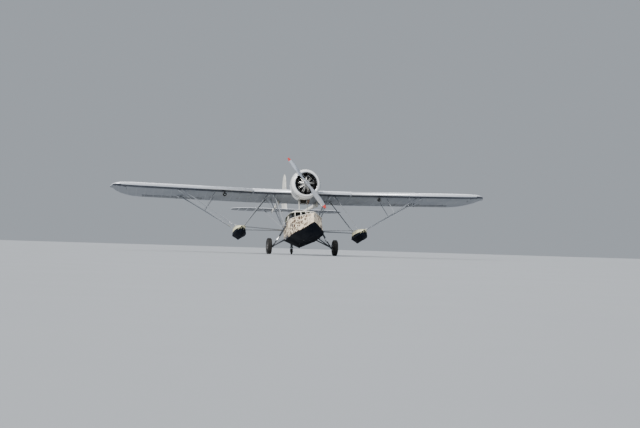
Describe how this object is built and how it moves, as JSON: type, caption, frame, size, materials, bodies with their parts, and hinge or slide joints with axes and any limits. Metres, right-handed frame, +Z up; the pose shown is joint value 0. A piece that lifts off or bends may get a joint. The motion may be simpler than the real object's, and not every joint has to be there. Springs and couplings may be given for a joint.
{
  "type": "amphibious flying boat",
  "caption": "Parasol-wing amphibious flying boat with an open radial engine over a hollow cabin, outrigger floats, tail booms and a lowered wheeled undercarriage.",
  "frame": {"origin": "middle of the aircraft's footprint on the ground it parks on", "axes": "+X to port along the span, +Y aft, +Z up from the ground; the hull stands nose-up by 7 degrees"},
  "size_m": [15.849, 9.9644, 3.9636],
  "materials": {
    "hull_paint": "gloss cream paint with brown blotches over a black bottom",
    "cabin_paint": "gloss ivory paint",
    "tail_paint": "gloss ivory paint",
    "silver_dope": "silver doped fabric over ribs",
    "strut_paint": "grey paint",
    "gear_paint": "dark grey paint",
    "engine_metal": "bare cast metal",
    "cooler_metal": "dark soldered core",
    "exhaust_metal": "heat-browned steel",
    "propeller_metal": "polished, red tips",
    "tyre": "matte black rubber",
    "wheel_metal": "spun disc",
    "lamp_metal": "dark enamel",
    "dark_paint": "matte black",
    "leather": "tan hide",
    "glass": "flat panes"
  },
  "bodies": {
    "airframe": {"hull": "hull_paint", "cabin_frame": "cabin_paint", "windscreen": "glass", "side_windows_port": "glass", "side_windows_starboard": "glass", "instrument_panel": "dark_paint", "control_column": "dark_paint", "front_seats": "leather", "rear_seat": "leather", "wing_centre": "silver_dope", "wing_port": "silver_dope", "wing_starboard": "silver_dope", "cowl": "cabin_paint", "engine": "engine_metal", "nacelle": "cabin_paint", "oil_cooler": "cooler_metal", "exhaust": "exhaust_metal", "cabane_struts": "strut_paint", "hull_struts_port": "strut_paint", "hull_struts_starboard": "strut_paint", "wing_struts_port": "strut_paint", "wing_struts_starboard": "strut_paint", "float_frame_port": "strut_paint", "float_frame_starboard": "strut_paint", "float_port": "hull_paint", "float_starboard": "hull_paint", "boom_port": "cabin_paint", "boom_starboard": "cabin_paint", "tail_struts_port": "strut_paint", "tail_struts_starboard": "strut_paint", "tailplane": "silver_dope", "fin": "tail_paint", "gear_leg_port": "gear_paint", "gear_leg_starboard": "gear_paint", "oleo_port": "gear_paint", "oleo_starboard": "gear_paint", "tailwheel_bracket": "gear_paint", "landing_lamp_port": "lamp_metal", "landing_lamp_starboard": "lamp_metal"},
    "propeller": {"propeller": "propeller_metal"},
    "wheel_port": {"tyre_port": "tyre", "wheel_hub_port": "wheel_metal"},
    "wheel_starboard": {"tyre_starboard": "tyre", "wheel_hub_starboard": "wheel_metal"},
    "tail_fork": {"tail_fork": "gear_paint"},
    "tailwheel": {"tailwheel": "tyre"},
    "aileron_port": {"aileron_port": "silver_dope"},
    "aileron_starboard": {"aileron_starboard": "silver_dope"},
    "elevator": {"elevator": "silver_dope"},
    "rudder": {"rudder": "tail_paint"},
    "bow_hatch": {"bow_hatch_lid": "cabin_paint"},
    "cabin_hatch": {"cabin_hatch_lid": "cabin_paint"}
  },
  "joints": [
    {"name": "propeller_spin", "type": "hinge", "parent": "airframe", "child": "propeller", "pos_m": [0, -2.71045, 2.94673], "axis": [0, 0.9925, -0.1219], "continuous": true},
    {"name": "wheel_port_spin", "type": "hinge", "parent": "airframe", "child": "wheel_port", "pos_m": [1.376, -1.92357, 0.32932], "axis": [1, 0, 0], "continuous": true},
    {"name": "wheel_starboard_spin", "type": "hinge", "parent": "airframe", "child": "wheel_starboard", "pos_m": [-1.376, -1.92357, 0.32932], "axis": [1, 0, 0], "continuous": true},
    {"name": "tail_fork_swivel", "type": "hinge", "parent": "airframe", "child": "tail_fork", "pos_m": [0, 1.18642, 0.30311], "axis": [0, 0.1219, 0.9925], "range_deg": [-45, 45]},
    {"name": "tailwheel_spin", "type": "hinge", "parent": "tail_fork", "child": "tailwheel", "pos_m": [0, 1.22755, 0.12932], "axis": [1, 0, 0], "continuous": true},
    {"name": "aileron_port_hinge", "type": "hinge", "parent": "airframe", "child": "aileron_port", "pos_m": [4.04922, -0.05744, 2.34208], "axis": [0.9998, 0.0038, 0.0179], "range_deg": [-20, 20]},
    {"name": "aileron_starboard_hinge", "type": "hinge", "parent": "airframe", "child": "aileron_starboard", "pos_m": [-4.04922, -0.05744, 2.34208], "axis": [0.9998, -0.0038, -0.0179], "range_deg": [-20, 20]},
    {"name": "elevator_hinge", "type": "hinge", "parent": "airframe", "child": "elevator", "pos_m": [0, 3.51517, 1.95563], "axis": [1, 0, 0], "range_deg": [-20, 25]},
    {"name": "rudder_hinge", "type": "hinge", "parent": "airframe", "child": "rudder", "pos_m": [0, 3.86792, 1.95665], "axis": [0, 0.1219, 0.9925], "range_deg": [-25, 25]},
    {"name": "bow_hatch_hinge", "type": "hinge", "parent": "airframe", "child": "bow_hatch", "pos_m": [0, -4.23609, 1.6645], "axis": [1, 0, 0], "range_deg": [0, 100]},
    {"name": "cabin_hatch_hinge", "type": "hinge", "parent": "airframe", "child": "cabin_hatch", "pos_m": [0, -0.78807, 1.62345], "axis": [1, 0, 0], "range_deg": [0, 95]}
  ],
  "couplings": [
    {"joint": "aileron_starboard_hinge", "follows": "aileron_port_hinge", "ratio": -1}
  ]
}
